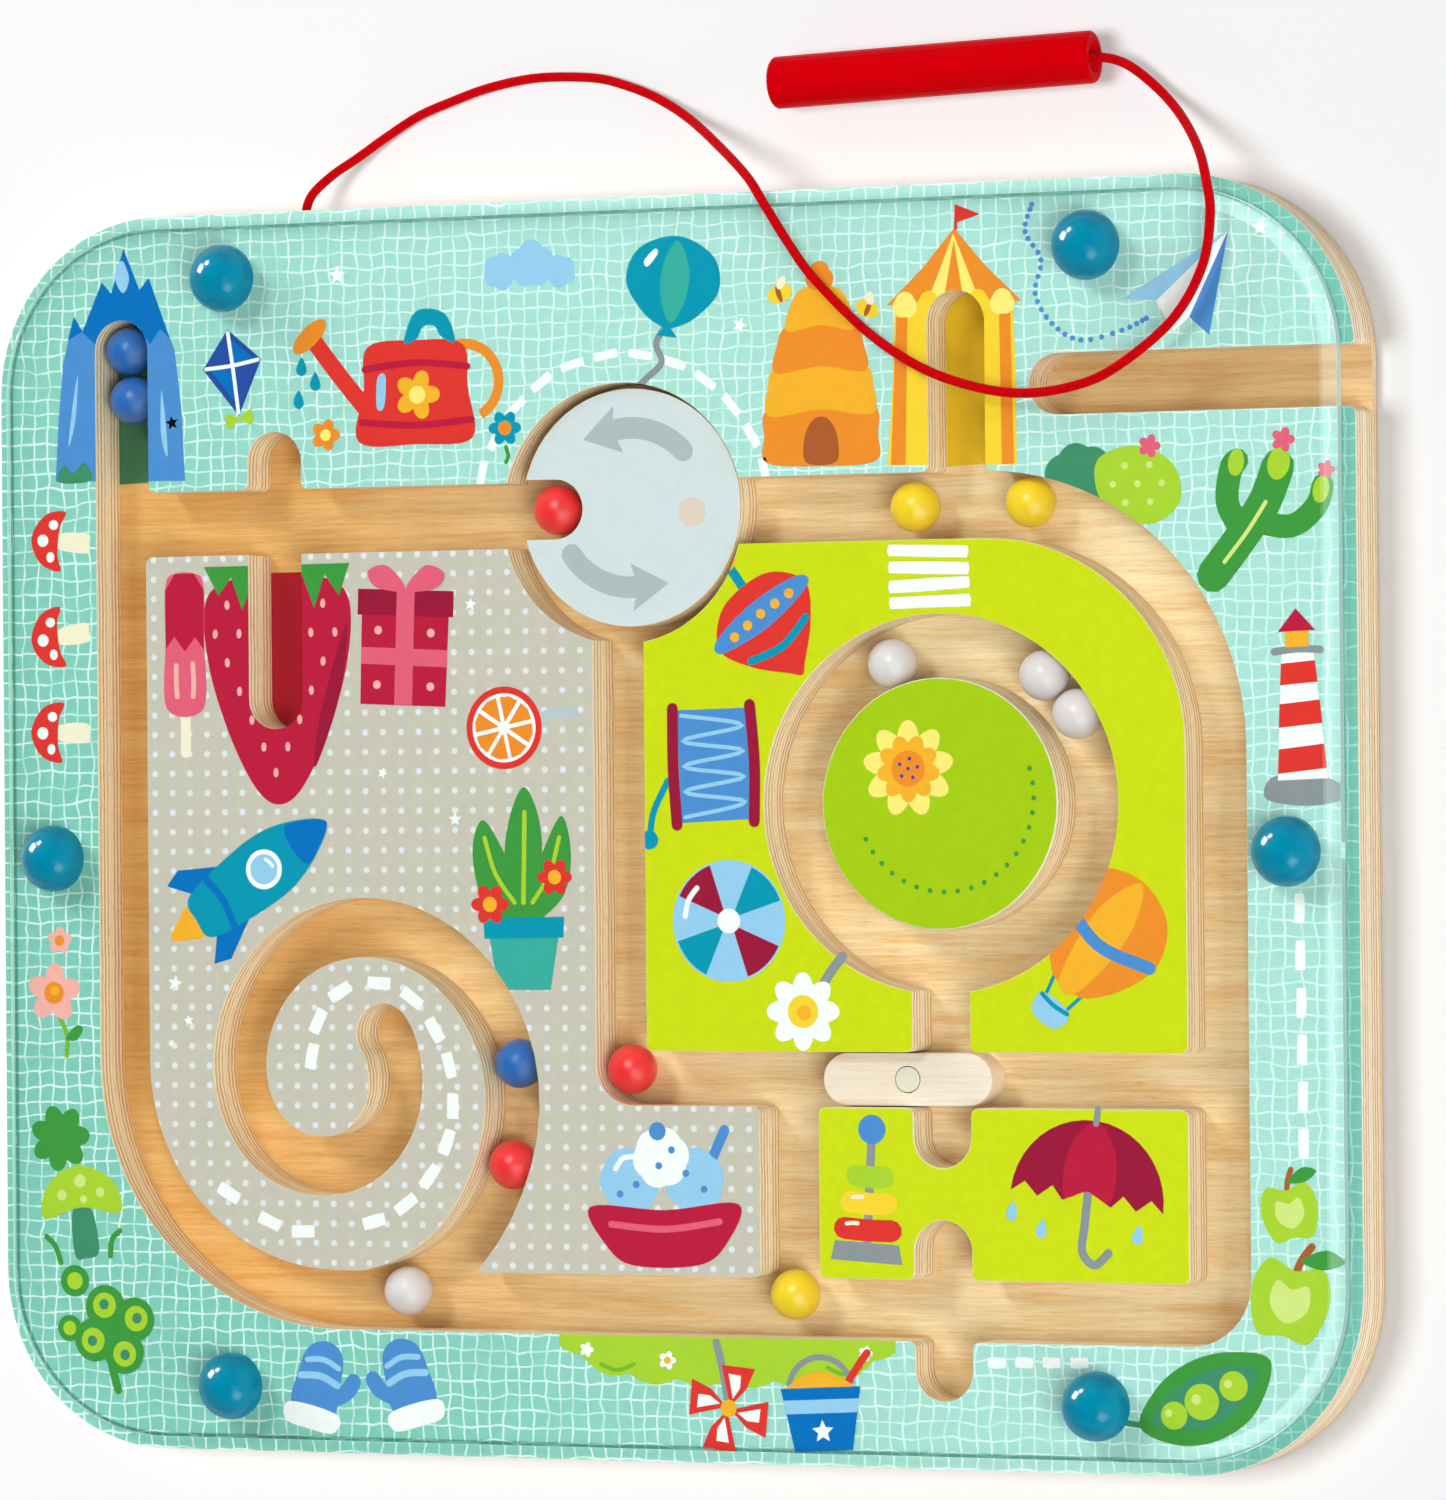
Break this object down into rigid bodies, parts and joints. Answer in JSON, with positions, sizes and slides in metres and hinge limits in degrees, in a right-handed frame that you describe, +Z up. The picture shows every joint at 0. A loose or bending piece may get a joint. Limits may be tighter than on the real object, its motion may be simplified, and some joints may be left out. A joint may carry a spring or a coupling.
{
  "type": "magnetic maze board",
  "caption": "Plywood maze board under a clear sheet, with loose painted balls in its lanes, a turntable, a sliding gate bar, domed caps and a magnet wand on a cord.",
  "frame": {"origin": "centre of the board's underside, on the surface it lies on", "axes": "+X towards the board's right side, where the wand's slot opens, +Y towards its top edge, where the cord is fixed, +Z up from the surface"},
  "size_m": [0.325, 0.3116, 0.0265],
  "materials": {
    "base_wood": "bare plywood, matt; painted green, yellow and red in three places",
    "teal_print": "plywood with a printed satin face in teal, bare laminated edges",
    "grey_print": "plywood with a printed satin face in grey, bare laminated edges",
    "lime_print": "plywood with a printed satin face in lime green, bare laminated edges",
    "green_print": "plywood with a printed satin face in green, bare laminated edges",
    "pale_blue_paint": "wood painted pale blue-grey, satin",
    "plug_paint": "steel slug painted over in a pale colour, satin",
    "pale_wood": "pale wood, clear satin lacquer",
    "steel": "magnet with a nickel finish, satin",
    "clear_sheet": "clear acrylic sheet, glossy",
    "cap_teal": "moulded plastic, glossy",
    "zinc": "zinc plated, satin",
    "blue_paint": "painted steel, satin",
    "red_paint": "painted steel, satin",
    "yellow_paint": "painted steel, satin",
    "silver_paint": "painted steel, satin with a slight metallic look",
    "wand_red": "painted wood, glossy",
    "cord_red": "round braided cord"
  },
  "bodies": {
    "board": {"base_plate": "base_wood", "maze_frame": "teal_print", "grey_island": "grey_print", "upper_green_island": "lime_print", "green_hub": "green_print", "lower_green_island": "lime_print", "cover_sheet": "clear_sheet", "cap_1": "cap_teal", "cap_2": "cap_teal", "cap_3": "cap_teal", "cap_4": "cap_teal", "cap_5": "cap_teal", "cap_6": "cap_teal", "cap_screw_1": "zinc", "cap_screw_2": "zinc", "cap_screw_3": "zinc", "cap_screw_4": "zinc", "cap_screw_5": "zinc", "cap_screw_6": "zinc", "cord": "cord_red"},
    "turntable": {"turntable": "pale_blue_paint", "turntable_plug": "plug_paint"},
    "gate": {"gate_bar": "pale_wood", "gate_plug": "plug_paint"},
    "wand": {"wand": "wand_red", "wand_magnet": "steel"},
    "blue_ball_1": {"blue_ball_1": "blue_paint"},
    "blue_ball_2": {"blue_ball_2": "blue_paint"},
    "blue_ball_3": {"blue_ball_3": "blue_paint"},
    "red_ball_1": {"red_ball_1": "red_paint"},
    "red_ball_2": {"red_ball_2": "red_paint"},
    "red_ball_3": {"red_ball_3": "red_paint"},
    "yellow_ball_1": {"yellow_ball_1": "yellow_paint"},
    "yellow_ball_2": {"yellow_ball_2": "yellow_paint"},
    "yellow_ball_3": {"yellow_ball_3": "yellow_paint"},
    "silver_ball_1": {"silver_ball_1": "silver_paint"},
    "silver_ball_2": {"silver_ball_2": "silver_paint"},
    "silver_ball_3": {"silver_ball_3": "silver_paint"},
    "silver_ball_4": {"silver_ball_4": "silver_paint"}
  },
  "joints": [
    {"name": "turntable_spin", "type": "hinge", "parent": "board", "child": "turntable", "pos_m": [-0.00573, 0.07089, 0.0033], "axis": [0, 0, 1], "continuous": true},
    {"name": "red_ball_1_shift", "type": "slide", "parent": "turntable", "child": "red_ball_1", "axis": [1, 0, 0], "range_m": [-0.001, 0.0015]},
    {"name": "gate_slide", "type": "slide", "parent": "board", "child": "gate", "axis": [1, 0, 0], "range_m": [-0.038, 0.058]},
    {"name": "blue_ball_2_run", "type": "slide", "parent": "board", "child": "blue_ball_2", "axis": [0, -1, 0], "range_m": [0, 0.14]},
    {"name": "blue_ball_1_run", "type": "slide", "parent": "board", "child": "blue_ball_1", "axis": [0, -1, 0], "range_m": [0, 0.14]},
    {"name": "blue_ball_3_run", "type": "hinge", "parent": "board", "child": "blue_ball_3", "pos_m": [-0.07803, -0.06104, 0.0088], "axis": [0, 0, 1], "range_deg": [-7, 25]},
    {"name": "red_ball_3_run", "type": "hinge", "parent": "board", "child": "red_ball_3", "pos_m": [-0.07803, -0.06104, 0.0088], "axis": [0, 0, 1], "range_deg": [-24, 7]},
    {"name": "red_ball_2_run", "type": "slide", "parent": "board", "child": "red_ball_2", "axis": [0, 1, 0], "range_m": [0, 0.088]},
    {"name": "yellow_ball_1_run", "type": "slide", "parent": "board", "child": "yellow_ball_1", "axis": [1, 0, 0], "range_m": [-0.032, 0.008]},
    {"name": "yellow_ball_2_run", "type": "hinge", "parent": "board", "child": "yellow_ball_2", "pos_m": [0.0777, 0.0169, 0.0088], "axis": [0, 0, 1], "range_deg": [-78, 5]},
    {"name": "yellow_ball_3_run", "type": "slide", "parent": "board", "child": "yellow_ball_3", "axis": [0, 1, 0], "range_m": [-0.003, 0.035]},
    {"name": "silver_ball_1_run", "type": "hinge", "parent": "board", "child": "silver_ball_1", "pos_m": [0.06733, 0.00493, 0.0088], "axis": [0, 0, 1], "range_deg": [-20, 130]},
    {"name": "silver_ball_2_run", "type": "hinge", "parent": "board", "child": "silver_ball_2", "pos_m": [0.06733, 0.00493, 0.0088], "axis": [0, 0, 1], "range_deg": [-130, 20]},
    {"name": "silver_ball_3_run", "type": "hinge", "parent": "board", "child": "silver_ball_3", "pos_m": [0.06733, 0.00493, 0.0088], "axis": [0, 0, 1], "range_deg": [-130, 20]},
    {"name": "silver_ball_4_run", "type": "hinge", "parent": "board", "child": "silver_ball_4", "pos_m": [-0.0777, -0.0517, 0.0088], "axis": [0, 0, 1], "range_deg": [-95, 8]},
    {"name": "wand_swing", "type": "hinge", "parent": "board", "child": "wand", "pos_m": [0.09899, 0.16624, 0.0058], "axis": [0, 0, 1], "range_deg": [-40, 5]}
  ],
  "couplings": [
    {"joint": "blue_ball_1_run", "follows": "blue_ball_2_run", "ratio": 1},
    {"joint": "silver_ball_3_run", "follows": "silver_ball_2_run", "ratio": 1}
  ]
}
